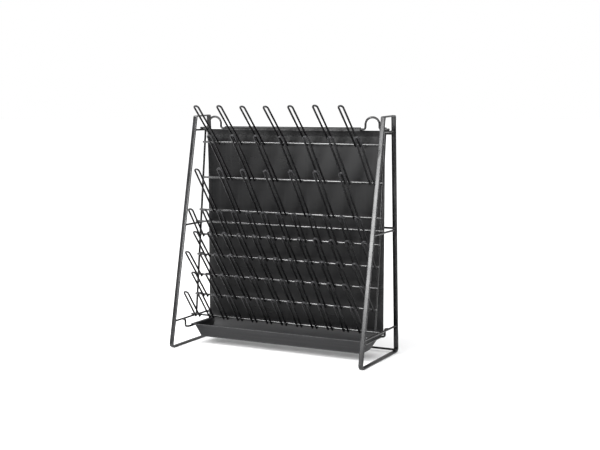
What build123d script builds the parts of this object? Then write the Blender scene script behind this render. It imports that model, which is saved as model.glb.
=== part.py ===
"""Free-standing wire drying rack for laboratory glassware.

Two flat-strip side frames carry a leaning grid of wires with eight rows of hairpin pegs.
A sheet panel hangs behind the grid and sheds drips into a long tray under it.

Frame: +X to the right as seen from the front, +Y to the back, +Z up.
Origin: on the floor, in the middle of the rack's footprint.  All lengths in millimetres.
"""

from build123d import *
from math import atan2, cos, radians, sin, tan
import os

os.makedirs("parts", exist_ok=True)

# ---------------------------------------------------------------- driving dimensions

# side frames: one closed loop of flat strip each
frame_pitch = 420.0            # between the two strips' centre lines
frame_height = 470.0           # at the front; the top bar rises a little to the back
frame_rear_rise = 2.0
frame_foot_front_y = -92.0
frame_foot_rear_y = 89.0
frame_top_front_y = 9.5
frame_top_rear_y = 64.0
strip_width = 10.0             # across, along X
strip_thickness = 3.2
strip_edge_radius = 1.4        # rolled edges
foot_corner_radius = 8.0
top_corner_radius = 3.6

# wires
heavy_wire_radius = 2.2        # rear rods, hanging wire, grid side wires, tray hangers
brace_radius = 2.0
grid_wire_radius = 2.0
peg_wire_radius = 1.9
wire_end_radius = 0.6

# grid: a plane that leans back towards its top
grid_foot_y = -15.5            # where the plane meets the floor
grid_lean = 0.1123             # run per unit of rise
side_wire_x = 203.0
side_wire_overrun = 4.0        # past the lowest and highest wire
stay_end_x = frame_pitch / 2 + 3.0
top_wire_z = 444.5
middle_wire_z = 250.5
rod_heights = (415.0, 342.0, 275.0, 224.0, 182.0, 141.0, 100.0, 57.0)

# pegs: hairpins that point up and forward from each grid rod
peg_gap = 9.6                  # between the centre lines of the two legs
peg_foot_overrun = 2.4         # of each leg past its rod
long_peg_pitch = 53.2
long_peg_count = 7
long_peg_angles = (43.5, 49.5, 52.0)     # above horizontal, top row first
long_peg_lengths = (112.0, 121.0, 117.0)
long_peg_shifts = (-10.0, 25.0, -5.0)    # of each row's middle, so the rows are staggered
short_peg_pitch = 34.0
short_peg_count = 12
short_peg_angles = (54.0, 50.5, 49.5, 50.0, 52.0)
short_peg_length = 72.5
short_peg_shift = 8.5                    # to the left and to the right by turns

# hanging arches in the top wire
arch_inner_x = 163.0
arch_outer_x = 192.4
arch_top_z = 467.6
arch_foot_radius = 4.5
arch_crown_radius = 14.2

# braces: wires inside each side frame, front leg to rear leg
lower_brace_z = rod_heights[-1] - grid_wire_radius - brace_radius
middle_brace_z = middle_wire_z - grid_wire_radius - brace_radius
top_brace_z = top_wire_z - heavy_wire_radius - brace_radius

# back panel
panel_half_width = 200.2
panel_thickness = 1.2
panel_y = 44.6                 # rear face
panel_bottom_z = 42.4          # just above the tray's rim
panel_crease_z = 430.0
panel_notch_x = 153.0          # the hem stops here, clear of the arches
panel_notch_z = 442.0
panel_hem_gap = 0.4
panel_hem_drop = 4.0

# drip tray: sections from the bottom up, as (height, half length, front, back)
tray_wall = 1.6
tray_rim_width = 3.0           # at the front and back
tray_end_rim_width = 6.0       # over the hangers
tray_rim_z = 42.0
tray_rim_x = 198.6
tray_rim_front_y = -34.6
tray_rim_back_y = 57.0
tray_rim_corner_radius = 2.0
tray_bottom_z = 13.5
tray_bottom_x = 182.0
tray_bottom_front_y = -20.0
tray_bottom_back_y = 19.0
tray_knee_z = 31.0
tray_knee_back_y = 41.0
tray_corner_radius = 2.5
tray_rim_root = 0.8            # how far the rim is let into the steep walls
tray_rim_back_root = 1.6       # and into the shallow back wall
corner_rise = 0.3              # an edge steeper than this is a corner between two walls

# tray hangers: a bent wire at each end, with a hook on the brace at both of its ends
hanger_gap = 0.3               # between a wire and the rim that rests on it
hanger_run_x = 196.8           # under the tray's end rim
hanger_hook_x = 201.8          # clear of the rim, so the tray slides past
hanger_front_y = -49.0
hanger_rear_y = 47.5           # behind the panel
hanger_jog = 8.0               # along Y, from a hook to the run
hanger_hook_radius = 3.6
hanger_jog_radius = 9.0


# ---------------------------------------------------------------- shared geometry

def grid_y(z):
    """Depth of the grid plane at height z."""
    return grid_foot_y + grid_lean * z


def front_leg_y(z):
    """Inner face of a front leg at height z."""
    lean = atan2(frame_top_front_y - frame_foot_front_y, frame_height)
    return frame_foot_front_y + z * tan(lean) + strip_thickness / cos(lean)


def rear_leg_y(z):
    """Inner face of a rear leg at height z."""
    lean = atan2(frame_foot_rear_y - frame_top_rear_y, frame_height + frame_rear_rise)
    return frame_foot_rear_y - z * tan(lean) - strip_thickness / cos(lean)


def save(part, name):
    """Name a finished sub-part and write it."""
    part.label = name
    export_step(part, f"parts/{name}.step")


def straight_wire(start, end, radius):
    """A straight round wire with softened ends."""
    axis = Vector(*end) - Vector(*start)
    with BuildPart() as wire:
        with BuildSketch(Plane(origin=start, z_dir=axis)):
            Circle(radius)
        extrude(amount=axis.length)
        fillet(wire.edges().filter_by(GeomType.CIRCLE), radius=wire_end_radius)
    return wire.part


def bent_wire(points, radii, radius):
    """A round wire that follows a line of points, bent at each corner."""
    with BuildPart() as wire:
        with BuildLine() as centre:
            FilletPolyline(*points, radius=radii)
        with BuildSketch(Plane(origin=centre.line @ 0, z_dir=centre.line % 0)):
            Circle(radius)
        sweep()
    return wire.part


# ---------------------------------------------------------------- side frames

def side_frame(x):
    """One closed loop of flat strip: foot bar, two legs and top bar."""
    corner_radii = [foot_corner_radius] * 2 + [top_corner_radius] * 2
    with BuildPart() as frame:
        with BuildSketch(Plane.YZ.offset(x - strip_width / 2)):
            with BuildLine():
                FilletPolyline(
                    (frame_foot_front_y, 0),
                    (frame_foot_rear_y, 0),
                    (frame_top_rear_y, frame_height + frame_rear_rise),
                    (frame_top_front_y, frame_height),
                    radius=corner_radii,
                    close=True,
                )
            make_face()
            offset(amount=-strip_thickness, mode=Mode.SUBTRACT)
        extrude(amount=strip_width)
        rims = frame.faces().filter_by(Axis.X).edges()
        fillet(rims, radius=strip_edge_radius)
    return frame.part


for side, name in ((-1, "left"), (1, "right")):
    save(side_frame(side * frame_pitch / 2), f"side_frame_{name}")

# ---------------------------------------------------------------- braces and rear rods

brace_heights = {"lower": lower_brace_z, "middle": middle_brace_z, "top": top_brace_z}
for level, z in brace_heights.items():
    # the upper edge of a brace's end meets the leaning legs first
    front_y = front_leg_y(z + brace_radius)
    rear_y = rear_leg_y(z + brace_radius)
    for side, name in ((-1, "left"), (1, "right")):
        x = side * frame_pitch / 2
        save(
            straight_wire((x, front_y, z), (x, rear_y, z), brace_radius),
            f"{level}_brace_{name}",
        )

rear_rod_heights = {
    "bottom": strip_thickness + heavy_wire_radius,
    "middle": middle_brace_z + brace_radius + heavy_wire_radius,
    "top": top_brace_z - brace_radius - heavy_wire_radius,
}
rear_rod_setback = {"bottom": 3.2, "middle": 0.2, "top": 0.2}
for level, z in rear_rod_heights.items():
    y = rear_leg_y(z) - heavy_wire_radius - rear_rod_setback[level]
    save(
        straight_wire((-stay_end_x, y, z), (stay_end_x, y, z), heavy_wire_radius),
        f"rear_rod_{level}",
    )

# ---------------------------------------------------------------- grid

# the side wires lie behind the rods and touch them
lean_angle = atan2(grid_lean, 1.0)
side_wire_setback = (grid_wire_radius + heavy_wire_radius) / cos(lean_angle)


def side_wire(x):
    """One of the two wires that tie the grid's rods together."""
    low_z = rod_heights[-1] - side_wire_overrun
    high_z = top_wire_z + side_wire_overrun
    start = (x, grid_y(low_z) + side_wire_setback, low_z)
    end = (x, grid_y(high_z) + side_wire_setback, high_z)
    return straight_wire(start, end, heavy_wire_radius)


for side, name in ((-1, "left"), (1, "right")):
    save(side_wire(side * side_wire_x), f"grid_side_wire_{name}")

for number, z in enumerate(rod_heights, start=1):
    reach = stay_end_x if z == rod_heights[-1] else side_wire_x + heavy_wire_radius
    start = (-reach, grid_y(z), z)
    end = (reach, grid_y(z), z)
    save(straight_wire(start, end, grid_wire_radius), f"grid_rod_{number}")

middle_y = grid_y(middle_wire_z)
save(
    straight_wire(
        (-stay_end_x, middle_y, middle_wire_z),
        (stay_end_x, middle_y, middle_wire_z),
        grid_wire_radius,
    ),
    "grid_stay_wire",
)

# the top wire rises into an arch at each end, for hanging the rack on a wall
top_wire_y = grid_y(top_wire_z) + side_wire_setback - 2 * heavy_wire_radius / cos(lean_angle)
arch_side = (
    (stay_end_x, top_wire_z),
    (arch_outer_x, top_wire_z),
    (arch_outer_x, arch_top_z),
    (arch_inner_x, arch_top_z),
    (arch_inner_x, top_wire_z),
)
arch_radii = [arch_foot_radius, arch_crown_radius, arch_crown_radius, arch_foot_radius]
left_half = [(-x, top_wire_y, z) for x, z in arch_side]
right_half = [(x, top_wire_y, z) for x, z in reversed(arch_side)]
save(
    bent_wire(left_half + right_half, arch_radii + arch_radii[::-1], heavy_wire_radius),
    "top_hanging_wire",
)

# ---------------------------------------------------------------- pegs


def peg_row(rod_z, angle, length, count, pitch, shift):
    """A row of identical hairpins, their legs laid across the front of one rod."""
    lean = radians(angle)
    out_of_row = Vector(0, -sin(lean), -cos(lean))
    along_leg = Vector(0, -cos(lean), sin(lean))
    rod_centre = Vector(0, grid_y(rod_z), rod_z)
    foot = rod_centre + out_of_row * (grid_wire_radius + peg_wire_radius)
    foot = foot - along_leg * peg_foot_overrun
    half = peg_gap / 2
    straight = length + peg_foot_overrun - half
    with BuildPart() as peg:
        with BuildLine(Plane(origin=foot, x_dir=(1, 0, 0), z_dir=out_of_row)) as centre:
            Line((-half, 0), (-half, straight))
            ThreePointArc((-half, straight), (0, straight + half), (half, straight))
            Line((half, straight), (half, 0))
        with BuildSketch(Plane(origin=centre.line @ 0, z_dir=centre.line % 0)):
            Circle(peg_wire_radius)
        sweep()
    places = [((n - (count - 1) / 2) * pitch + shift, 0, 0) for n in range(count)]
    with BuildPart() as row:
        with Locations(*places):
            add(peg.part)
    return row.part


for number, z in enumerate(rod_heights, start=1):
    if number <= len(long_peg_angles):
        angle = long_peg_angles[number - 1]
        length = long_peg_lengths[number - 1]
        shift = long_peg_shifts[number - 1]
        row = peg_row(z, angle, length, long_peg_count, long_peg_pitch, shift)
    else:
        angle = short_peg_angles[number - 1 - len(long_peg_angles)]
        shift = short_peg_shift if number % 2 else -short_peg_shift
        row = peg_row(z, angle, short_peg_length, short_peg_count, short_peg_pitch, shift)
    save(row, f"peg_row_{number}")

# ---------------------------------------------------------------- back panel

# a flat sheet whose top leans forward from a crease and curls over the top wire
panel_front_y = panel_y - panel_thickness
hem_inner = heavy_wire_radius + panel_hem_gap
hem_outer = hem_inner + panel_thickness

with BuildPart() as back_panel:
    with BuildSketch(Plane.YZ.offset(-panel_half_width)):
        with BuildLine():
            Polyline(
                (panel_front_y, panel_bottom_z),
                (panel_y, panel_bottom_z),
                (panel_y, panel_crease_z),
                (top_wire_y + hem_outer, top_wire_z),
                (top_wire_y + hem_inner, top_wire_z),
                (panel_front_y, panel_crease_z),
                close=True,
            )
        make_face()
    extrude(amount=2 * panel_half_width)
    with BuildSketch(Plane.YZ.offset(-panel_notch_x)):
        with Locations((top_wire_y, top_wire_z)):
            Circle(hem_outer)
            Circle(hem_inner, mode=Mode.SUBTRACT)
            Rectangle(2 * hem_outer, hem_outer, align=(Align.CENTER, Align.MAX), mode=Mode.SUBTRACT)
        with Locations((top_wire_y - (hem_inner + hem_outer) / 2, top_wire_z)):
            Rectangle(panel_thickness, panel_hem_drop, align=(Align.CENTER, Align.MAX))
    extrude(amount=2 * panel_notch_x)
    notch_width = panel_half_width - panel_notch_x
    for side in (-1, 1):
        middle = side * (panel_notch_x + notch_width / 2)
        with BuildSketch(Plane.XY.offset(panel_notch_z)):
            with Locations((middle, top_wire_y)):
                Rectangle(notch_width, 8 * hem_outer)
        extrude(amount=hem_outer * 3, mode=Mode.SUBTRACT)
save(back_panel.part, "back_panel")

# ---------------------------------------------------------------- drip tray

rim_inner_x = tray_rim_x - tray_end_rim_width
rim_inner_front = tray_rim_front_y + tray_rim_width
rim_inner_back = tray_rim_back_y - tray_rim_width


def between(low, high, z):
    """Value at height z on a straight wall from the tray's bottom to its rim."""
    share = (z - tray_bottom_z) / (tray_rim_z - tray_bottom_z)
    return low + (high - low) * share


tray_sections = (
    (tray_bottom_z, tray_bottom_x, tray_bottom_front_y, tray_bottom_back_y),
    (
        tray_knee_z,
        between(tray_bottom_x, rim_inner_x, tray_knee_z),
        between(tray_bottom_front_y, rim_inner_front, tray_knee_z),
        tray_knee_back_y,
    ),
    (tray_rim_z, rim_inner_x, rim_inner_front, rim_inner_back),
)

with BuildPart() as drip_tray:
    for z, half_length, front, back in tray_sections:
        with BuildSketch(Plane.XY.offset(z)):
            with Locations((0, (front + back) / 2)):
                Rectangle(2 * half_length, back - front)
    loft(ruled=True)
    offset(amount=-tray_wall, openings=drip_tray.faces().sort_by(Axis.Z)[-1])
    corners = drip_tray.edges().filter_by(lambda edge: abs((edge % 0.5).Z) > corner_rise)
    fillet(corners, radius=tray_corner_radius)
    root_front = rim_inner_front + tray_rim_root
    root_back = rim_inner_back - tray_rim_back_root
    with BuildSketch(Plane.XY.offset(tray_rim_z - tray_wall)):
        with Locations((0, (tray_rim_front_y + tray_rim_back_y) / 2)):
            RectangleRounded(
                2 * tray_rim_x,
                tray_rim_back_y - tray_rim_front_y,
                tray_rim_corner_radius,
            )
        with Locations((0, (root_front + root_back) / 2)):
            RectangleRounded(
                2 * (rim_inner_x - tray_rim_root),
                root_back - root_front,
                tray_corner_radius,
                mode=Mode.SUBTRACT,
            )
    extrude(amount=tray_wall)
save(drip_tray.part, "drip_tray")

# ---------------------------------------------------------------- tray hangers

hanger_z = tray_rim_z - tray_wall - hanger_gap - heavy_wire_radius
hanger_end_x = frame_pitch / 2 - brace_radius


def tray_hanger(side):
    """A wire that hooks down from a lower brace and runs along under the tray's end rim."""
    front_half = (
        (hanger_end_x, hanger_front_y, lower_brace_z),
        (hanger_hook_x, hanger_front_y, lower_brace_z),
        (hanger_hook_x, hanger_front_y, hanger_z),
        (hanger_run_x, hanger_front_y + hanger_jog, hanger_z),
    )
    rear_half = (
        (hanger_run_x, hanger_rear_y - hanger_jog, hanger_z),
        (hanger_hook_x, hanger_rear_y, hanger_z),
        (hanger_hook_x, hanger_rear_y, lower_brace_z),
        (hanger_end_x, hanger_rear_y, lower_brace_z),
    )
    points = [(side * x, y, z) for x, y, z in front_half + rear_half]
    hook_radii = [hanger_hook_radius, hanger_hook_radius]
    radii = [*hook_radii, hanger_jog_radius, hanger_jog_radius, *hook_radii]
    return bent_wire(points, radii, heavy_wire_radius)


for side, name in ((-1, "left"), (1, "right")):
    save(tray_hanger(side), f"tray_hanger_{name}")
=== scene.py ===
"""Looks of the laboratory drying rack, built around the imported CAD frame.  All lengths in metres.

Every wire, strip and sheet is rebuilt here as a smooth coated piece where its CAD node stands,
with welds at the crossings, and gets a procedural coating.
"""

import math
import random

import bpy
from mathutils import Matrix, Vector, noise


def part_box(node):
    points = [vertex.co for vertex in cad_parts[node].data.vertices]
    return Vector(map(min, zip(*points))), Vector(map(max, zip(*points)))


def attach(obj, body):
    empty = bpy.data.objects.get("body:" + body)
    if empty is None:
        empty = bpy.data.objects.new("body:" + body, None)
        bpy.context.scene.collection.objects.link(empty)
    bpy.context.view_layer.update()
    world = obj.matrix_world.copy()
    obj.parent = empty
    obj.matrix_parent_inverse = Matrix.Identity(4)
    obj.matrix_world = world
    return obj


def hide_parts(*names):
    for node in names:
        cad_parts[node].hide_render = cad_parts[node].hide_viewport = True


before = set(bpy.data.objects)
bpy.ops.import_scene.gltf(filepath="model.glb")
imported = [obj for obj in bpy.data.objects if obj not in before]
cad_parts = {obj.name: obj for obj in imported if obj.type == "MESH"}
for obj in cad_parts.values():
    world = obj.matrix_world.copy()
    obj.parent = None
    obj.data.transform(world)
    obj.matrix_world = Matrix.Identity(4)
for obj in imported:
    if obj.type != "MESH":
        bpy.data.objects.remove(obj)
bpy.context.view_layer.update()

rng = random.Random(7)

RIGHT, REARWARD, UP = Vector((1, 0, 0)), Vector((0, 1, 0)), Vector((0, 0, 1))
SIDES = ("left", "right")

# ------------------------------------------------------------------ shape constants

# wires
WIRE_SIDES, PEG_WIRE_SIDES = 18, 16
ARC_STEP = math.radians(9)             # between two rings on a bend
CUT_END_RADIUS = 0.0006                # rounding of a wire's coated cut end
FLARE_PROFILE = ((0.0, 1.0), (0.0004, 0.45), (0.0011, 0.15), (0.002, 0.0))
BRACE_FLARE = 0.0012                   # how far a brace's welded end spreads

# side frames
STRIP_THICKNESS = 0.0032
STRIP_CROWN = 0.00014                  # how much a face falls away towards its edges
STRIP_EDGE_STEPS = 6
FOOT_FRONT_Y, FOOT_REAR_Y = -0.092, 0.089
TOP_FRONT_Y, TOP_REAR_Y = 0.0095, 0.064
TOP_RISE = 0.002                       # of the top bar, front to back
TOP_BAR_ROUNDING = 0.00013             # what its rear bend takes off the frame's height
FOOT_CORNER_RADIUS = 0.008
TOP_CORNER_RADIUS = 0.0036

# pegs
LONG_ROWS, SHORT_ROWS = 3, 5
LONG_COUNT, SHORT_COUNT = 7, 12        # pegs in a row
PEG_GAP = 0.0096                       # between the middles of a hairpin's two legs
PEG_WIRE_RADIUS = 0.0019
PEG_CROWN_STEPS = 12
PEG_SPREAD = 0.5                       # deviation of the three random draws below
PEG_LEAN_SPREAD = math.radians(0.7)    # pegs are bent by hand, so no two are quite alike
PEG_SWAY_SPREAD = math.radians(0.55)
PEG_LENGTH_SPREAD = 0.008
PEG_WORN_SHARE = 0.25                  # of a peg's length, rubbed more and more to its tip

# top wire
ARCH_INNER_X, ARCH_OUTER_X = 0.163, 0.1924
ARCH_FOOT_RADIUS, ARCH_CROWN_RADIUS = 0.0045, 0.0142
ARCH_WEAR = 0.3

# tray hangers
HANGER_HOOK_X = 0.2018
HANGER_JOG = 0.008
HANGER_HOOK_RADIUS, HANGER_JOG_RADIUS = 0.0036, 0.009

# welds, as half sizes of a bead: along its wire, across it, and deep
PEG_BEAD = (0.0025, 0.0022, 0.0012)
ROD_BEAD = (0.0022, 0.0022, 0.0010)
BRACE_BEAD = (0.0024, 0.0024, 0.0011)
FOOT_BEAD = (0.0038, 0.0022, 0.0011)
HANGER_BEAD = (0.0030, 0.0024, 0.0013)
BEAD_ROWS, BEAD_COLUMNS = 7, 12
BEAD_LEAST, BEAD_MOST = 0.9, 1.12      # random size of a bead
BEAD_PINCH = 0.10                      # narrows it between the wires, so that it reads as a fillet
BEAD_RIPPLE, BEAD_RIPPLE_SCALE = 0.08, 900
BEAD_WEAR = 0.25

# back panel
PANEL_THICKNESS = 0.0012
PANEL_CREASE_Z = 0.430
PANEL_CREASE_RADIUS = 0.003
PANEL_NOTCH_X = 0.153
PANEL_NOTCH_Z = 0.442
PANEL_HEM_RADIUS = 0.0032              # of the sheet's middle, round the top wire
PANEL_HEM_DROP = 0.004
PANEL_HEM_STEPS = 16
PANEL_ROWS = 40
PANEL_COLUMNS, PANEL_COLUMN_STEP = 20, 0.01
PANEL_EDGE_STEP = 0.002                # between columns at the sides and the notches
PANEL_WAVE = 0.00025                   # how far the sheet strays from flat
PANEL_WAVE_FADE = 0.05                 # height below the crease where the waves die away
PANEL_EDGE_WEAR_WIDTH = 0.003
# a painted highlight along the panel's crease: its strength, and how far it reaches either side of the
# bend
PANEL_CREASE_HIGHLIGHT, PANEL_CREASE_HIGHLIGHT_REACH = 0.5, 0.002
PANEL_EDGE_ROUNDING = 0.0004

# drip tray
TRAY_WALL = 0.0016
TRAY_END_WALL = TRAY_WALL * 1.06       # walls measured level, thicker the more they slope
TRAY_FRONT_WALL = TRAY_WALL * 1.08
TRAY_BACK_WALL = TRAY_WALL * 2.2
TRAY_LOW_BACK_WALL = TRAY_WALL * 1.7
TRAY_RIM_WIDTH, TRAY_END_RIM_WIDTH = 0.003, 0.006
TRAY_RIM_CORNER_RADIUS = 0.002
TRAY_RIM_FILLET = 0.0012
TRAY_RIM_ROOT = 0.0006                 # how far the wall spreads where it meets the rim
TRAY_KNEE_Z = 0.031
TRAY_KNEE_BACK_Y = 0.041
TRAY_BOTTOM_X = 0.182
TRAY_BOTTOM_FRONT_Y = -0.020
TRAY_BOTTOM_BACK_Y = 0.019
TRAY_BOTTOM_BEND = 0.0022
TRAY_BACK_BEND_SHARE = 1.6             # the bottom bend is longer at the sloping back
TRAY_CORNER_RADIUS = 0.0025
TRAY_INNER_CORNER_RADIUS = TRAY_CORNER_RADIUS * 0.8
TRAY_INNER_LIFT = TRAY_WALL * 0.6      # how much higher the knee is inside
TRAY_CORNER_STEPS = 6


# ------------------------------------------------------------------ mesh building

class Shape:
    """Vertices, faces and a wear value per vertex, gathered into one mesh; on the back panel's crease
    that value is a painted highlight.
    """

    def __init__(self):
        self.points = []
        self.faces = []
        self.wear = []

    def ring(self, points, wear):
        """Add a ring of points and return where it starts."""
        start = len(self.points)
        self.points.extend(points)
        self.wear.extend(wear)
        return start

    def bridge(self, first, second, count):
        """Join two rings of the same count with quads."""
        for i in range(count):
            j = (i + 1) % count
            self.faces.append((first + i, first + j, second + j, second + i))

    def cap(self, first, count, flip):
        """Close a ring with a fan round its middle."""
        middle = sum((self.points[first + i] for i in range(count)), Vector()) / count
        wear = sum(self.wear[first:first + count]) / count
        centre = self.ring([middle], [wear])
        for i in range(count):
            j = (i + 1) % count
            a, b = (first + j, first + i) if flip else (first + i, first + j)
            self.faces.append((a, b, centre))

    def piece(self, name, material, body, slot, *nodes):
        """The finished object, riding on its body and standing for its CAD nodes."""
        mesh = bpy.data.meshes.new(name)
        mesh.from_pydata([p[:] for p in self.points], [], self.faces)
        mesh.validate()
        mesh.shade_smooth()
        mesh.attributes.new("wear", "FLOAT", "POINT").data.foreach_set("value", self.wear)
        mesh.materials.append(material)
        thing = bpy.data.objects.new(name, mesh)
        bpy.context.scene.collection.objects.link(thing)
        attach(thing, body)
        if nodes:
            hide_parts(*nodes)
        return thing


def rounded_path(corners, radii, closed=False):
    """Points along a line of corners, each corner inside it rounded to its radius."""
    count = len(corners)
    path = []
    for i, corner in enumerate(corners):
        if not closed and i in (0, count - 1):
            path.append(corner.copy())
            continue
        back = (corners[i - 1] - corner).normalized()
        ahead = (corners[(i + 1) % count] - corner).normalized()
        turn = math.pi - back.angle(ahead)
        radius = radii[i] if closed else radii[i - 1]
        reach = radius * math.tan(turn / 2)
        bisector = (back + ahead).normalized()
        centre = corner + bisector * (radius / math.cos(turn / 2))
        start = corner + back * reach - centre
        end = corner + ahead * reach - centre
        steps = max(2, math.ceil(turn / ARC_STEP))
        for step in range(steps + 1):
            share = step / steps
            arm = start * math.sin((1 - share) * turn) + end * math.sin(share * turn)
            path.append(centre + arm / math.sin(turn))
    return path


def tangents(path):
    """Unit directions along an open path of points."""
    last = len(path) - 1
    found = []
    for i, point in enumerate(path):
        ahead = path[i + 1] - point if i < last else Vector()
        behind = point - path[i - 1] if i else Vector()
        found.append((ahead.normalized() + behind.normalized()).normalized())
    return found


def end_profile(flare):
    """A wire's end: (distance from the end, extra radius), flared against a face or cut round."""
    if flare:
        return [(along, share * flare) for along, share in FLARE_PROFILE]
    arc = [k * math.pi / 8 for k in range(5)]
    return [
        (CUT_END_RADIUS * (1 - math.cos(a)), CUT_END_RADIUS * (math.sin(a) - 1)) for a in arc
    ]


def add_tube(shape, path, radius, wear=None, flare=0.0, sides=WIRE_SIDES):
    """A round wire along a path, its ends rounded, or flared where they are welded on."""
    ways = tangents(path)
    last = len(path) - 1
    profile = end_profile(flare)
    stations = [(path[0] + ways[0] * along, ways[0], radius + extra, 0) for along, extra in profile]
    stations += [(path[i], ways[i], radius, i) for i in range(1, last)]
    for along, extra in reversed(profile):
        stations.append((path[last] - ways[last] * along, ways[last], radius + extra, last))

    side = ways[0].orthogonal().normalized()
    turns = [2 * math.pi * k / sides for k in range(sides)]
    rings = []
    for centre, way, r, index in stations:
        side = (side - way * side.dot(way)).normalized()
        across = way.cross(side)
        ring = [centre + side * (r * math.cos(t)) + across * (r * math.sin(t)) for t in turns]
        rings.append(shape.ring(ring, [wear[index] if wear else 0.0] * sides))
    for one, other in zip(rings, rings[1:]):
        shape.bridge(one, other, sides)
    shape.cap(rings[0], sides, flip=True)
    shape.cap(rings[-1], sides, flip=False)


def add_bead(shape, centre, along, across, half_along, half_across, half_deep):
    """A weld between two touching wires: a low lump that fills the nooks beside the touch."""
    along = along.normalized()
    across = (across - along * across.dot(along)).normalized()
    deep = along.cross(across)
    lump = rng.uniform(BEAD_LEAST, BEAD_MOST)
    rings = []
    for row in range(1, BEAD_ROWS):
        tilt = math.pi * row / BEAD_ROWS
        ring = []
        for column in range(BEAD_COLUMNS):
            turn = 2 * math.pi * column / BEAD_COLUMNS
            spot = Vector((math.sin(tilt) * math.cos(turn), math.sin(tilt) * math.sin(turn)))
            ripple = noise.noise((centre + along * spot.x) * BEAD_RIPPLE_SCALE)
            swell = lump * (1 + BEAD_PINCH * math.cos(4 * turn)) * (1 + BEAD_RIPPLE * ripple)
            ring.append(
                centre
                + along * (half_along * swell * spot.x)
                + across * (half_across * swell * spot.y)
                + deep * (half_deep * math.cos(tilt))
            )
        rings.append(shape.ring(ring, [BEAD_WEAR] * BEAD_COLUMNS))
    for one, other in zip(rings, rings[1:]):
        shape.bridge(one, other, BEAD_COLUMNS)
    shape.cap(rings[0], BEAD_COLUMNS, flip=True)
    shape.cap(rings[-1], BEAD_COLUMNS, flip=False)


# ------------------------------------------------------------------ where the CAD nodes are

def middle(node):
    """Centre of a CAD node's box."""
    low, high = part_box(node)
    return (low + high) / 2


def wire_of(node):
    """Ends and radius of a straight CAD wire that lies along X or Y."""
    low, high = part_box(node)
    size = high - low
    axis = 0 if size.x > size.y else 1
    centre = (low + high) / 2
    start, end = centre.copy(), centre.copy()
    start[axis], end[axis] = low[axis], high[axis]
    return start, end, size.z / 2


# the grid's plane
ROD_NODES = [f"grid_rod_{number}" for number in range(1, LONG_ROWS + SHORT_ROWS + 1)]
GRID_NODES = [*ROD_NODES, "grid_stay_wire"]
grid_up = (middle(ROD_NODES[0]) - middle(ROD_NODES[-1])).normalized()
grid_back = grid_up.cross(RIGHT)
rod_radius = wire_of(ROD_NODES[0])[2]

# the top wire's straight part, and the radius of all heavy wire
top_wire_low, top_wire_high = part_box("top_hanging_wire")
heavy_radius = (top_wire_high.y - top_wire_low.y) / 2
top_wire = Vector((0, (top_wire_low.y + top_wire_high.y) / 2, top_wire_low.z + heavy_radius))


def peg_row_of(number):
    """Where the CAD row stands: (foot centres, way along a leg, leg length, way out of the row)."""
    low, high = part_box(f"peg_row_{number}")
    size = high - low
    lean, length = math.radians(50), size.z
    for _ in range(20):
        # the box of a leaning hairpin: its run plus the wire's round end and flat foot
        rise = size.z - PEG_WIRE_RADIUS * (1 + math.cos(lean))
        run = size.y - PEG_WIRE_RADIUS * (1 + math.sin(lean))
        lean, length = math.atan2(rise, run), math.hypot(rise, run)
    along = Vector((0, -math.cos(lean), math.sin(lean)))
    out = Vector((0, -math.sin(lean), -math.cos(lean)))
    count = LONG_COUNT if number <= LONG_ROWS else SHORT_COUNT
    first = low.x + PEG_WIRE_RADIUS + PEG_GAP / 2
    last = high.x - PEG_WIRE_RADIUS - PEG_GAP / 2
    crown_y = low.y + PEG_WIRE_RADIUS
    crown_z = high.z - PEG_WIRE_RADIUS
    feet = []
    for k in range(count):
        x = first + (last - first) * k / (count - 1)
        feet.append(Vector((x, crown_y, crown_z)) - along * length)
    return feet, along, length, out


def hanger_of(side):
    """Where a CAD tray hanger runs: (hook ends' x, run's x, hook ys, top z, run z)."""
    low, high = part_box(f"tray_hanger_{side}")
    ys = (low.y + heavy_radius, high.y - heavy_radius)
    # the hooks end outside, on the brace, and the run lies inside
    if side == "left":
        end_x, run_x = low.x, high.x - heavy_radius
    else:
        end_x, run_x = high.x, low.x + heavy_radius
    return end_x, run_x, ys, high.z - heavy_radius, low.z + heavy_radius


# ------------------------------------------------------------------ materials

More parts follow.
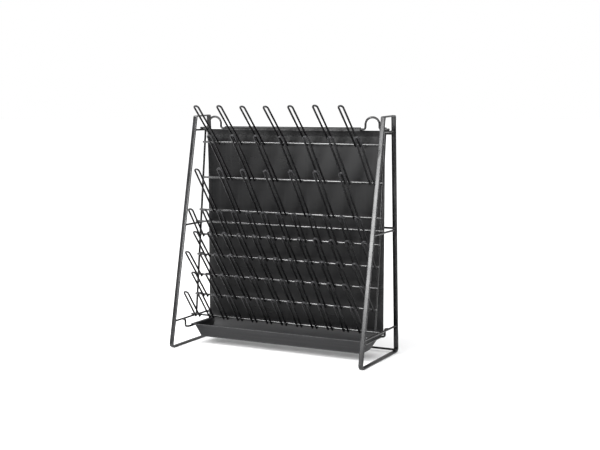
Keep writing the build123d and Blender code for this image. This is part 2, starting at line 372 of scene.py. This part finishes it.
class Coat:
    """One procedural material, with the fields that drive its shader."""

    def __init__(self, name):
        self.material = bpy.data.materials.new(name)
        self.material.use_nodes = True
        tree = self.material.node_tree
        self.nodes, self.link = tree.nodes, tree.links.new
        self.shader = tree.nodes["Principled BSDF"]

    def noise(self, scale, detail=3.0, roughness=0.55, stretch=None):
        """A noise texture in the object's own metres, stretched along an axis if asked."""
        place = self.nodes.new("ShaderNodeTexCoord").outputs["Object"]
        if stretch:
            mapping = self.nodes.new("ShaderNodeMapping")
            mapping.inputs["Scale"].default_value = stretch
            self.link(place, mapping.inputs["Vector"])
            place = mapping.outputs["Vector"]
        field = self.nodes.new("ShaderNodeTexNoise")
        field.inputs["Scale"].default_value = scale
        field.inputs["Detail"].default_value = detail
        field.inputs["Roughness"].default_value = roughness
        self.link(place, field.inputs["Vector"])
        return field.outputs["Fac"]

    def spread(self, field, low, high, start=0.3, end=0.7):
        """Map a field's span, from start to end, onto the values from low to high."""
        ramp = self.nodes.new("ShaderNodeMapRange")
        ramp.inputs["From Min"].default_value = start
        ramp.inputs["From Max"].default_value = end
        ramp.inputs["To Min"].default_value = low
        ramp.inputs["To Max"].default_value = high
        self.link(field, ramp.inputs["Value"])
        return ramp.outputs["Result"]

    def combine(self, operation, first, second):
        """Arithmetic on two fields, or on a field and a number."""
        step = self.nodes.new("ShaderNodeMath")
        step.operation = operation
        for socket, value in zip(step.inputs, (first, second)):
            if isinstance(value, (int, float)):
                socket.default_value = value
            else:
                self.link(value, socket)
        return step.outputs["Value"]

    def blend(self, share, first, second):
        """Mix two colours, each a colour or another node's output."""
        mix = self.nodes.new("ShaderNodeMix")
        mix.data_type = "RGBA"
        self.link(share, mix.inputs["Factor"])
        for socket, colour in ((mix.inputs[6], first), (mix.inputs[7], second)):
            if isinstance(colour, tuple):
                socket.default_value = (*colour, 1)
            else:
                self.link(colour, socket)
        return mix.outputs[2]

    def rubbed_and_highlight(self, amount, scale, start):
        """Patchy scuffs where the mesh's wear is high, up to the given amount; on the back panel's
        crease the same mask paints a highlight.
        """
        wear = self.nodes.new("ShaderNodeAttribute")
        wear.attribute_name = "wear"
        field = self.noise(scale, detail=5, roughness=0.7)
        scuffs = self.spread(field, 0, amount, start=start, end=0.62)
        return self.combine("MULTIPLY", wear.outputs["Fac"], scuffs)

    def colour(self, colour):
        """Drive the base colour."""
        self.link(colour, self.shader.inputs["Base Color"])

    def gloss(self, roughness, *extras):
        """Drive the roughness with the sum of these fields."""
        for extra in extras:
            roughness = self.combine("ADD", roughness, extra)
        self.link(roughness, self.shader.inputs["Roughness"])

    def bumps(self, *layers):
        """Stack bump layers, each (field, depth in metres), onto the shader."""
        previous = None
        for field, depth in layers:
            bump = self.nodes.new("ShaderNodeBump")
            bump.inputs["Distance"].default_value = depth
            self.link(field, bump.inputs["Height"])
            if previous:
                self.link(previous, bump.inputs["Normal"])
            previous = bump.outputs["Normal"]
        self.link(previous, self.shader.inputs["Normal"])


def epoxy_coat(name, dark, light, worn, roughness, specular, peel_scale, peel_depth, wear_amount):
    """Baked epoxy on steel: orange peel, patchy gloss, and rubbed places where wear is high."""
    coat = Coat(name)
    patches = coat.noise(scale=35, detail=4)
    peel = coat.noise(scale=peel_scale, detail=2)
    specks = coat.noise(scale=2600, detail=1)
    rubbed_and_highlight = coat.rubbed_and_highlight(wear_amount, scale=420, start=0.42)
    ground = coat.blend(coat.spread(patches, 0, 1), dark, light)
    coat.colour(coat.blend(rubbed_and_highlight, ground, worn))
    coat.gloss(
        coat.spread(patches, roughness - 0.05, roughness + 0.06),
        coat.spread(specks, -0.03, 0.03),
        coat.combine("MULTIPLY", rubbed_and_highlight, 0.25),
    )
    coat.shader.inputs["Specular IOR Level"].default_value = specular
    coat.bumps((peel, peel_depth), (specks, peel_depth / 5))
    return coat.material


def satin_sheet(name):
    """Coated sheet steel: fine texture, faint rolling lines, dried runs of water, rubbed edges, and a
    painted highlight along the crease.
    """
    dark, light = (0.002, 0.002, 0.0023), (0.004, 0.004, 0.0045)
    # the lighter grey below is worn metal at the sheet's edges, and also a painted highlight along its
    # crease
    chalk, bare_and_highlight = (0.022, 0.022, 0.023), (0.12, 0.12, 0.12)
    coat = Coat(name)
    clouds = coat.noise(scale=7, detail=4)
    texture = coat.noise(scale=1500, detail=2)
    runs = coat.noise(scale=1, detail=5, stretch=(130, 20, 6))
    rolling = coat.noise(scale=1, detail=3, stretch=(5, 40, 420))
    dried = coat.spread(runs, 0, 0.22, start=0.56, end=0.72)
    # edge wear, with the painted highlight along the crease in the same mask
    rubbed_and_highlight = coat.rubbed_and_highlight(0.5, scale=380, start=0.4)
    ground = coat.blend(coat.spread(clouds, 0, 1), dark, light)
    ground = coat.blend(dried, ground, chalk)
    coat.colour(coat.blend(rubbed_and_highlight, ground, bare_and_highlight))
    coat.gloss(
        coat.spread(clouds, 0.27, 0.32),
        coat.spread(rolling, -0.01, 0.01),
        coat.combine("MULTIPLY", dried, 0.35),
    )
    coat.shader.inputs["Specular IOR Level"].default_value = 0.17
    coat.bumps((texture, 0.00003), (rolling, 0.00001))
    return coat.material


def moulded_plastic(name):
    """Satin black plastic: moulded grain, hair scratches along the tray, painted lighter both as
    scratches and as streaks of reflected light, and rubbed edges.
    """
    dark, light = (0.006, 0.006, 0.0068), (0.010, 0.010, 0.011)
    worn, scratch_and_sheen_grey = (0.11, 0.11, 0.115), (0.07, 0.07, 0.073)
    coat = Coat(name)
    clouds = coat.noise(scale=14, detail=4)
    grain = coat.noise(scale=1900, detail=2)
    hairs = coat.noise(scale=1, detail=4, stretch=(9, 900, 900))
    # hair scratches, whose lighter grey is also a painted reflection: streaks of light along the tray
    scratches_and_sheen_streaks = coat.spread(hairs, 0, 0.16, start=0.50, end=0.68)
    rubbed_and_highlight = coat.rubbed_and_highlight(0.5, scale=350, start=0.42)
    ground = coat.blend(coat.spread(clouds, 0, 1), dark, light)
    ground = coat.blend(rubbed_and_highlight, ground, worn)
    coat.colour(coat.blend(scratches_and_sheen_streaks, ground, scratch_and_sheen_grey))
    coat.gloss(coat.spread(clouds, 0.36, 0.46), coat.combine("MULTIPLY", scratches_and_sheen_streaks, 0.3))
    coat.shader.inputs["Specular IOR Level"].default_value = 0.3
    coat.bumps((grain, 0.00005), (hairs, 0.00001))
    return coat.material


def pale_floor(name):
    """Faintly clouded, near white paint."""
    coat = Coat(name)
    clouds = coat.spread(coat.noise(scale=3), 0, 1)
    coat.colour(coat.blend(clouds, (0.88, 0.88, 0.885), (0.90, 0.90, 0.90)))
    coat.shader.inputs["Roughness"].default_value = 0.55
    coat.shader.inputs["Specular IOR Level"].default_value = 0.25
    return coat.material


WIRE_BLACK = {"dark": (0.003, 0.003, 0.0034), "light": (0.006, 0.006, 0.0065)}

frame_coat = epoxy_coat(
    "frame_coat", dark=(0.004, 0.004, 0.0045), light=(0.008, 0.008, 0.009),
    worn=(0.12, 0.12, 0.125), roughness=0.24, specular=0.45,
    peel_scale=700, peel_depth=0.000025, wear_amount=0.55,
)
wire_coat = epoxy_coat(
    "wire_coat", **WIRE_BLACK, worn=(0.10, 0.10, 0.105), roughness=0.19, specular=0.40,
    peel_scale=900, peel_depth=0.00003, wear_amount=0.4,
)
rod_coat = epoxy_coat(
    "rod_coat", **WIRE_BLACK, worn=(0.10, 0.10, 0.105), roughness=0.19, specular=0.95,
    peel_scale=900, peel_depth=0.00003, wear_amount=0.5,
)
peg_coat = epoxy_coat(
    "peg_coat", **WIRE_BLACK, worn=(0.09, 0.09, 0.095), roughness=0.24, specular=0.16,
    peel_scale=900, peel_depth=0.00005, wear_amount=0.5,
)
weld_coat = epoxy_coat(
    "weld_coat", dark=(0.003, 0.003, 0.0034), light=(0.007, 0.007, 0.0075),
    worn=(0.09, 0.09, 0.09), roughness=0.26, specular=0.4,
    peel_scale=1300, peel_depth=0.00012, wear_amount=0.4,
)
panel_coat = satin_sheet("panel_coat")
tray_plastic = moulded_plastic("tray_plastic")


# ------------------------------------------------------------------ side frames

def strip_profile(width):
    """Rolled strip with crowned faces and round edges: (along X, inward, wear) round its outline."""
    radius = STRIP_THICKNESS / 2 - STRIP_CROWN
    flat = width / 2 - radius
    quarter = [(flat * share, STRIP_CROWN * share ** 2, 0.0) for share in (0, 0.3, 0.6, 0.85)]
    for step in range(STRIP_EDGE_STEPS + 1):
        turn = math.pi / 2 * step / STRIP_EDGE_STEPS
        x = flat + radius * math.sin(turn)
        quarter.append((x, STRIP_CROWN + radius * (1 - math.cos(turn)), math.sin(turn)))
    half = quarter + [
        (x, STRIP_THICKNESS - depth, wear) for x, depth, wear in reversed(quarter[:-1])
    ]
    return half + [(-x, depth, wear) for x, depth, wear in reversed(half[1:-1])]


def side_frame(name):
    """One closed loop of coated strip, swept round its outline."""
    low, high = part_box(name)
    x = (low.x + high.x) / 2
    top_z = high.z + TOP_BAR_ROUNDING
    corners = [
        Vector((x, FOOT_FRONT_Y, low.z)),
        Vector((x, FOOT_REAR_Y, low.z)),
        Vector((x, TOP_REAR_Y, top_z)),
        Vector((x, TOP_FRONT_Y, top_z - TOP_RISE)),
    ]
    radii = [FOOT_CORNER_RADIUS] * 2 + [TOP_CORNER_RADIUS] * 2
    path = rounded_path(corners, radii, closed=True)
    profile = strip_profile(high.x - low.x)
    shape = Shape()
    rings = []
    for i, point in enumerate(path):
        way = (path[(i + 1) % len(path)] - point).normalized()
        way = (way + (point - path[i - 1]).normalized()).normalized()
        inward = RIGHT.cross(way)
        ring = [point + RIGHT * across + inward * depth for across, depth, _ in profile]
        rings.append(shape.ring(ring, [wear for _, _, wear in profile]))
    for i, ring in enumerate(rings):
        shape.bridge(ring, rings[(i + 1) % len(rings)], len(profile))
    shape.piece(f"coated_{name}", frame_coat, "rack", "frame_coat", name)


# ------------------------------------------------------------------ wires

def coated_wire(node, path, radius, coat, **finish):
    """One wire along a path, standing for its CAD node."""
    shape = Shape()
    add_tube(shape, path, radius, **finish)
    shape.piece(f"coated_{node}", coat, "rack", "wire_coat", node)


def braces():
    """The wires across the inside of each side frame, flared where they meet the strip."""
    for side in SIDES:
        for level in ("lower", "middle", "top"):
            node = f"{level}_brace_{side}"
            start, end, radius = wire_of(node)
            coated_wire(node, [start, end], radius, wire_coat, flare=BRACE_FLARE)


def rods():
    """The grid's rods and stay wire, and the three rods along the rear legs."""
    for node in [*GRID_NODES, "rear_rod_bottom", "rear_rod_middle", "rear_rod_top"]:
        start, end, radius = wire_of(node)
        coated_wire(node, [start, end], radius, rod_coat if node in GRID_NODES else wire_coat)


def grid_side_wires():
    """The two leaning wires behind the ends of the grid's rods."""
    lean = math.atan2(grid_up.y, grid_up.z)
    for side in SIDES:
        node = f"grid_side_wire_{side}"
        low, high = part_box(node)
        radius = (high.x - low.x) / 2
        x = (low.x + high.x) / 2
        inset_y, inset_z = radius * math.cos(lean), radius * math.sin(lean)
        start = Vector((x, low.y + inset_y, low.z + inset_z))
        end = Vector((x, high.y - inset_y, high.z - inset_z))
        coated_wire(node, [start, end], radius, wire_coat)


def top_hanging_wire():
    """The grid's top wire, with an arch near each end, rubbed towards its crown."""
    arch_top = top_wire_high.z - heavy_radius
    arch_side = [
        (top_wire_high.x, top_wire.z),
        (ARCH_OUTER_X, top_wire.z),
        (ARCH_OUTER_X, arch_top),
        (ARCH_INNER_X, arch_top),
        (ARCH_INNER_X, top_wire.z),
    ]
    arch_radii = [ARCH_FOOT_RADIUS, ARCH_CROWN_RADIUS, ARCH_CROWN_RADIUS, ARCH_FOOT_RADIUS]
    corners = [Vector((-x, top_wire.y, z)) for x, z in arch_side]
    corners += [Vector((x, top_wire.y, z)) for x, z in reversed(arch_side)]
    path = rounded_path(corners, arch_radii + arch_radii[::-1])
    rise = arch_top - top_wire.z
    wear = [max(0.0, ARCH_WEAR * (point.z - top_wire.z) / rise) for point in path]
    coated_wire("top_hanging_wire", path, heavy_radius, wire_coat, wear=wear)


def tray_hangers():
    """A bent wire under each end rim of the tray, hooked on the lower brace at both ends."""
    for side, hand in zip(SIDES, (-1, 1)):
        end_x, run_x, (front_y, rear_y), top_z, run_z = hanger_of(side)
        hook_x = hand * HANGER_HOOK_X
        halves = []
        for hook_y, jog in ((front_y, HANGER_JOG), (rear_y, -HANGER_JOG)):
            halves.append([
                Vector((end_x, hook_y, top_z)),
                Vector((hook_x, hook_y, top_z)),
                Vector((hook_x, hook_y, run_z)),
                Vector((run_x, hook_y + jog, run_z)),
            ])
        hook_radii = [HANGER_HOOK_RADIUS] * 2
        radii = [*hook_radii, HANGER_JOG_RADIUS, HANGER_JOG_RADIUS, *hook_radii]
        path = rounded_path(halves[0] + halves[1][::-1], radii)
        coated_wire(f"tray_hanger_{side}", path, heavy_radius, wire_coat)


# ------------------------------------------------------------------ pegs

def add_peg(row, foot, along, length, out):
    """One hairpin, bent a little off the way that its row leans and rubbed towards its tip."""
    lean = rng.gauss(0, PEG_SPREAD) * PEG_LEAN_SPREAD
    sway = rng.gauss(0, PEG_SPREAD) * PEG_SWAY_SPREAD
    reach = length * (1 + rng.gauss(0, PEG_SPREAD) * PEG_LENGTH_SPREAD)
    way = (along + out * lean + RIGHT * sway).normalized()
    side = (RIGHT - way * RIGHT.dot(way)).normalized()
    half = PEG_GAP / 2
    straight = reach - half
    left, right = foot - side * half, foot + side * half
    path = [left + way * (straight * share) for share in (0, 0.25, 0.5, 0.75)]
    for step in range(PEG_CROWN_STEPS + 1):
        turn = math.pi * step / PEG_CROWN_STEPS
        rise, shift = straight + half * math.sin(turn), half * math.cos(turn)
        path.append(foot + way * rise - side * shift)
    path += [right + way * (straight * share) for share in (0.75, 0.5, 0.25, 0)]
    wear = [max(0.0, 1 + ((p - foot).dot(way) / reach - 1) / PEG_WORN_SHARE) for p in path]
    add_tube(row, path, PEG_WIRE_RADIUS, wear=wear, sides=PEG_WIRE_SIDES)


def pegs():
    """The rows of pegs, and the welds of every peg's two legs on its rod."""
    welds = Shape()
    for number in range(1, len(ROD_NODES) + 1):
        feet, along, length, out = peg_row_of(number)
        rod = middle(f"grid_rod_{number}")
        row = Shape()
        for foot in feet:
            add_peg(row, foot, along, length, out)
            for hand in (-1, 1):
                leg_x = foot.x + hand * PEG_GAP / 2
                touch = Vector((leg_x, rod.y, rod.z)) + out * rod_radius
                add_bead(welds, touch, RIGHT, along, *PEG_BEAD)
        row.piece(f"coated_peg_row_{number}", peg_coat, "rack", "wire_coat", f"peg_row_{number}")
    welds.piece("peg_welds", weld_coat, "rack", "wire_coat")


# ------------------------------------------------------------------ other welds

def weld_grid(welds, side):
    """Beads where the rods and the top wire cross a grid side wire."""
    wire_x = middle(f"grid_side_wire_{side}").x
    for node in GRID_NODES:
        rod = middle(node)
        touch = Vector((wire_x, rod.y, rod.z)) + grid_back * rod_radius
        add_bead(welds, touch, RIGHT, grid_up, *ROD_BEAD)
    touch = Vector((wire_x, top_wire.y, top_wire.z)) + grid_back * heavy_radius
    add_bead(welds, touch, RIGHT, grid_up, *BRACE_BEAD)


def weld_braces(welds, side):
    """Beads where wires lie on or under the braces, on the side that they touch."""
    for level, wires in (
        ("lower", ("grid_rod_8",)),
        ("middle", ("grid_stay_wire", "rear_rod_middle")),
        ("top", ("top_hanging_wire", "rear_rod_top")),
    ):
        brace = middle(f"{level}_brace_{side}")
        radius = wire_of(f"{level}_brace_{side}")[2]
        for wire in wires:
            face_z = brace.z + math.copysign(radius, middle(wire).z - brace.z)
            touch = Vector((brace.x, middle(wire).y, face_z))
            add_bead(welds, touch, RIGHT, REARWARD, *BRACE_BEAD)


def weld_foot(welds, side):
    """The bead where the bottom rear rod stands on a side frame's foot bar."""
    x = middle(f"side_frame_{side}").x
    touch = Vector((x, middle("rear_rod_bottom").y, STRIP_THICKNESS))
    add_bead(welds, touch, RIGHT, REARWARD, *FOOT_BEAD)


def weld_hanger(welds, side):
    """Beads where a tray hanger's two hooks meet the lower brace."""
    brace = middle(f"lower_brace_{side}")
    inner = -math.copysign(wire_of(f"lower_brace_{side}")[2], brace.x)
    for hook_y in hanger_of(side)[2]:
        add_bead(welds, Vector((brace.x + inner, hook_y, brace.z)), REARWARD, UP, *HANGER_BEAD)


def frame_welds():
    """All welds but the pegs' own, as one piece."""
    welds = Shape()
    for side in SIDES:
        weld_grid(welds, side)
        weld_braces(welds, side)
        weld_foot(welds, side)
        weld_hanger(welds, side)
    welds.piece("frame_welds", weld_coat, "rack", "wire_coat")


# ------------------------------------------------------------------ back panel

def panel_section(bottom_z, sheet_y):
    """The sheet's middle line from its bottom edge up, over the top wire and down the hem."""
    hem_rear = Vector((0, top_wire.y + PANEL_HEM_RADIUS, top_wire.z))
    crease = Vector((0, sheet_y, PANEL_CREASE_Z))
    corners = [Vector((0, sheet_y, bottom_z)), crease, hem_rear]
    line = rounded_path(corners, [PANEL_CREASE_RADIUS])
    bottom, bend, slant_end = line[0], line[1:-1], line[-1]
    section = [bottom.lerp(bend[0], k / PANEL_ROWS) for k in range(PANEL_ROWS)]
    section += bend
    notch_share = (PANEL_NOTCH_Z - bend[-1].z) / (slant_end.z - bend[-1].z)
    section.append(bend[-1].lerp(slant_end, notch_share))
    for step in range(PANEL_HEM_STEPS + 1):
        turn = math.pi * step / PANEL_HEM_STEPS
        y = top_wire.y + PANEL_HEM_RADIUS * math.cos(turn)
        section.append(Vector((0, y, top_wire.z + PANEL_HEM_RADIUS * math.sin(turn))))
    section.append(Vector((0, top_wire.y - PANEL_HEM_RADIUS, top_wire.z - PANEL_HEM_DROP)))
    return section


def panel_columns(half_width):
    """Where the sheet's columns of points stand, closer at its sides and at the notches."""
    fine = PANEL_EDGE_STEP
    places = [half_width, half_width - fine, PANEL_NOTCH_X, PANEL_NOTCH_X - fine, PANEL_NOTCH_X + fine]
    even = [PANEL_COLUMN_STEP * k for k in range(PANEL_COLUMNS)]
    places += [x for x in even if abs(x - PANEL_NOTCH_X) > fine]
    return sorted({round(hand * x, 6) for hand in (-1, 1) for x in places})


def back_panel():
    """One folded sheet: a wavy back, a crease, notched top corners and a hem."""
    low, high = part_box("back_panel")
    section = panel_section(low.z, high.y - PANEL_THICKNESS / 2)
    notch_row = next(i for i, p in enumerate(section) if p.z > PANEL_NOTCH_Z - 1e-6)
    columns = panel_columns(high.x)
    sheet = Shape()
    rows = []
    for index, spot in enumerate(section):
        wave = PANEL_WAVE * min(1.0, max(0.0, (PANEL_CREASE_Z - spot.z) / PANEL_WAVE_FADE))
        # rows at the crease carry a painted highlight, the first and last rows edge wear
        at_crease = abs(spot.z - PANEL_CREASE_Z) < PANEL_CREASE_HIGHLIGHT_REACH
        row_wear = PANEL_CREASE_HIGHLIGHT if at_crease else 0.0
        if index in (0, len(section) - 1):
            row_wear = 1.0
        points, wear = [], []
        for x in columns:
            swell = noise.noise(Vector((x * 5, 0.3, spot.z * 6))) * wave
            points.append(Vector((x, spot.y + swell, spot.z)))
            wear.append(max(row_wear, 1 - (high.x - abs(x)) / PANEL_EDGE_WEAR_WIDTH))
        rows.append(sheet.ring(points, wear))
    for index, (lower, upper) in enumerate(zip(rows, rows[1:])):
        for c, (x, next_x) in enumerate(zip(columns, columns[1:])):
            notched = index >= notch_row and abs(x + next_x) / 2 > PANEL_NOTCH_X
            if not notched:
                sheet.faces.append((lower + c, lower + c + 1, upper + c + 1, upper + c))
    panel = sheet.piece("coated_back_panel", panel_coat, "panel", "panel_coat", "back_panel")
    thick = panel.modifiers.new("thickness", "SOLIDIFY")
    thick.thickness = PANEL_THICKNESS
    thick.offset = 0
    thick.use_even_offset = True
    soft = panel.modifiers.new("rounded_edges", "BEVEL")
    soft.width = PANEL_EDGE_ROUNDING
    soft.segments = 3
    soft.angle_limit = math.radians(60)
    soft.harden_normals = True


# ------------------------------------------------------------------ drip tray

tray_low, tray_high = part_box("drip_tray")
wall_half_x = tray_high.x - TRAY_END_RIM_WIDTH
wall_front, wall_back = tray_low.y + TRAY_RIM_WIDTH, tray_high.y - TRAY_RIM_WIDTH
knee_rise = TRAY_KNEE_Z - tray_low.z
quarter_turn = [k * math.pi / 10 for k in range(6)]


def tray_limits(z):
    """Outer walls at height z: (half length, front, back)."""
    share = (z - tray_low.z) / (tray_high.z - tray_low.z)
    half = TRAY_BOTTOM_X + (wall_half_x - TRAY_BOTTOM_X) * share
    front = TRAY_BOTTOM_FRONT_Y + (wall_front - TRAY_BOTTOM_FRONT_Y) * share
    if z < TRAY_KNEE_Z:
        rise = (z - tray_low.z) / knee_rise
        back = TRAY_BOTTOM_BACK_Y + (TRAY_KNEE_BACK_Y - TRAY_BOTTOM_BACK_Y) * rise
    else:
        rise = (z - TRAY_KNEE_Z) / (tray_high.z - TRAY_KNEE_Z)
        back = TRAY_KNEE_BACK_Y + (wall_back - TRAY_KNEE_BACK_Y) * rise
    return half, front, back


def wall_layer(z, ends, front, back, corner, wear=0.0):
    """A ring of the shell: the outer walls at z, brought in at the ends, the front and the back."""
    half, front_y, back_y = tray_limits(z)
    return z, half - ends, front_y + front, back_y - back, corner, wear


def tray_outside():
    """Layers from the middle of the underside, round the bottom bend and up to the rim."""
    layers = []
    for a in quarter_turn:
        z = tray_low.z + TRAY_BOTTOM_BEND * (1 - math.cos(a))
        inset = TRAY_BOTTOM_BEND * (1 - math.sin(a))
        back = inset * TRAY_BACK_BEND_SHARE
        layers.append(wall_layer(z, inset, inset, back, TRAY_CORNER_RADIUS, wear=0.6))
    for share in (0.25, 0.5, 0.75, 0.92, 1.0, 1.08):
        z = tray_low.z + knee_rise * share
        if z > layers[-1][0]:
            layers.append(wall_layer(z, 0, 0, 0, TRAY_CORNER_RADIUS))
    under = tray_high.z - TRAY_WALL
    layers.append(wall_layer(under - TRAY_RIM_FILLET, 0, 0, 0, TRAY_CORNER_RADIUS))
    root = -TRAY_RIM_ROOT
    layers.append(wall_layer(under, root, root, root, TRAY_CORNER_RADIUS))
    return layers


def tray_rim():
    """Layers round the rim's full-round edge, then over its lip to the inner wall."""
    layers = []
    half_wall = TRAY_WALL / 2
    steps = 6
    for k in range(steps + 1):
        a = -math.pi / 2 + math.pi * k / steps
        z = tray_high.z - half_wall + half_wall * math.sin(a)
        inset = half_wall - half_wall * math.cos(a)
        layers.append((
            z, tray_high.x - inset, tray_low.y + inset, tray_high.y - inset,
            TRAY_RIM_CORNER_RADIUS, 1.0 if 1 < k < steps else 0.3,
        ))
    for share, drop in ((0.0, 0.0), (0.35, 0.0001), (0.75, 0.0005), (1.0, 0.0012)):
        lip = TRAY_RIM_FILLET * (1 - share)
        side = TRAY_WALL * share - lip
        back = TRAY_BACK_WALL * share - lip
        wear = 0.7 if share < 0.5 else 0.1
        layers.append(wall_layer(tray_high.z - drop, side, side, back, TRAY_CORNER_RADIUS, wear))
    return layers


def tray_inside():
    """Layers down the inner walls, round the bottom bend and onto the floor."""
    layers = []
    corner = TRAY_INNER_CORNER_RADIUS
    for share in (1.08, 1.0, 0.92, 0.75, 0.5, 0.3):
        z = tray_low.z + knee_rise * share + TRAY_INNER_LIFT
        layers.append(wall_layer(z, TRAY_END_WALL, TRAY_FRONT_WALL, TRAY_BACK_WALL, corner))
    for a in reversed(quarter_turn):
        z = tray_low.z + TRAY_WALL + TRAY_BOTTOM_BEND * (1 - math.cos(a))
        inset = TRAY_BOTTOM_BEND * (1 - math.sin(a))
        back = TRAY_LOW_BACK_WALL + inset * TRAY_BACK_BEND_SHARE
        layers.append(wall_layer(z, TRAY_END_WALL + inset, TRAY_FRONT_WALL + inset, back, corner))
    return layers


def tray_ring(z, half, front, back, radius):
    """A rectangle with rounded corners at height z."""
    ring = []
    for hand_x, hand_y, turn in ((1, 1, 0), (-1, 1, 1), (-1, -1, 2), (1, -1, 3)):
        y = back - radius if hand_y > 0 else front + radius
        centre = Vector((hand_x * (half - radius), y, z))
        for step in range(TRAY_CORNER_STEPS + 1):
            angle = math.pi / 2 * (turn + step / TRAY_CORNER_STEPS)
            ring.append(centre + Vector((math.cos(angle), math.sin(angle), 0)) * radius)
    return ring


def drip_tray():
    """One moulded shell, inside and outside, closed at the floor and the underside."""
    shape = Shape()
    rings = []
    for z, half, front, back, radius, wear in tray_outside() + tray_rim() + tray_inside():
        ring = tray_ring(z, half, front, back, radius)
        rings.append(shape.ring(ring, [wear] * len(ring)))
    count = len(ring)
    for one, other in zip(rings, rings[1:]):
        shape.bridge(one, other, count)
    shape.faces.append(tuple(rings[0] + k for k in reversed(range(count))))
    shape.faces.append(tuple(rings[-1] + k for k in range(count)))
    tray = shape.piece("moulded_drip_tray", tray_plastic, "tray", "tray_plastic", "drip_tray")
    tray.data.set_sharp_from_angle(angle=math.radians(50))


# ------------------------------------------------------------------ floor, light and camera

def studio_floor():
    """A plain pale floor, far wider than the view."""
    bpy.ops.mesh.primitive_circle_add(vertices=96, radius=40, fill_type="NGON")
    floor = bpy.context.object
    floor.name = "studio_floor"
    floor.data.materials.append(pale_floor("studio_floor"))


def softbox(name, place, target, width, height, radiance, upright=UP):
    """A soft rectangular light of a given radiance, its height along the upright way."""
    data = bpy.data.lights.new(name, "AREA")
    data.shape = "RECTANGLE"
    data.size, data.size_y = width, height
    data.energy = radiance * math.pi * width * height
    lamp = bpy.data.objects.new(name, data)
    back = (Vector(place) - Vector(target)).normalized()
    side = upright.cross(back).normalized()
    facing = Matrix((side, back.cross(side), back)).transposed().to_quaternion()
    lamp.matrix_world = Matrix.LocRotScale(Vector(place), facing, None)
    bpy.context.scene.collection.objects.link(lamp)


def sky_light(place, target, energy, angle):
    """A very wide, soft sun that stands for the light from the ceiling."""
    sky = bpy.data.lights.new("sky", "SUN")
    sky.energy, sky.angle = energy, angle
    lamp = bpy.data.objects.new("sky", sky)
    lamp.location = place
    lamp.rotation_euler = (Vector(target) - Vector(place)).to_track_quat("-Z", "Y").to_euler()
    bpy.context.scene.collection.objects.link(lamp)


def studio_world(fill):
    """Plain white where the camera looks past the floor, and a weaker white fill elsewhere."""
    world = bpy.data.worlds.new("studio")
    bpy.context.scene.world = world
    world.use_nodes = True
    nodes, link = world.node_tree.nodes, world.node_tree.links.new
    lighting, seen = nodes["Background"], nodes.new("ShaderNodeBackground")
    choose = nodes.new("ShaderNodeMixShader")
    link(nodes.new("ShaderNodeLightPath").outputs["Is Camera Ray"], choose.inputs["Fac"])
    for socket, background, strength in ((1, lighting, fill), (2, seen, 1.0)):
        background.inputs["Color"].default_value = (1, 1, 1, 1)
        background.inputs["Strength"].default_value = strength
        link(background.outputs["Background"], choose.inputs[socket])
    link(choose.outputs["Shader"], nodes["World Output"].inputs["Surface"])


def photo_camera():
    """The camera at the photograph's viewing angle."""
    data = bpy.data.cameras.new("camera")
    data.sensor_width = 36
    data.lens = 64.51
    data.clip_end = 200
    camera = bpy.data.objects.new("camera", data)
    camera.location = (0.99911, -1.8850, 0.48695)
    camera.rotation_euler = (math.radians(90 - 6.25), 0, math.radians(27.01))
    bpy.context.scene.collection.objects.link(camera)
    bpy.context.scene.camera = camera
    bpy.context.scene.view_settings.view_transform = "Standard"


# ------------------------------------------------------------------ the rack in its studio

for side in SIDES:
    side_frame(f"side_frame_{side}")
braces()
rods()
grid_side_wires()
top_hanging_wire()
tray_hangers()
pegs()
frame_welds()
back_panel()
drip_tray()

studio_floor()
# a strip overhead for the dashes of light along the rods, and a tall box for the flat faces
softbox(
    "rod_strip", place=(-0.98, -0.82, 1.93), target=(0, 0, 0.25),
    width=0.95, height=0.5, radiance=24.0, upright=Vector((0, 0.9, 0.44)),
)
softbox(
    "tall_box", place=(-0.66, -1.95, 0.93), target=(-0.66, 0.0, 0.93),
    width=0.80, height=1.02, radiance=19.0,
)
sky_light(place=(0, 0, 3), target=(0.2, 0.1, 0), energy=3.3, angle=math.radians(120))
studio_world(fill=0.35)
photo_camera()
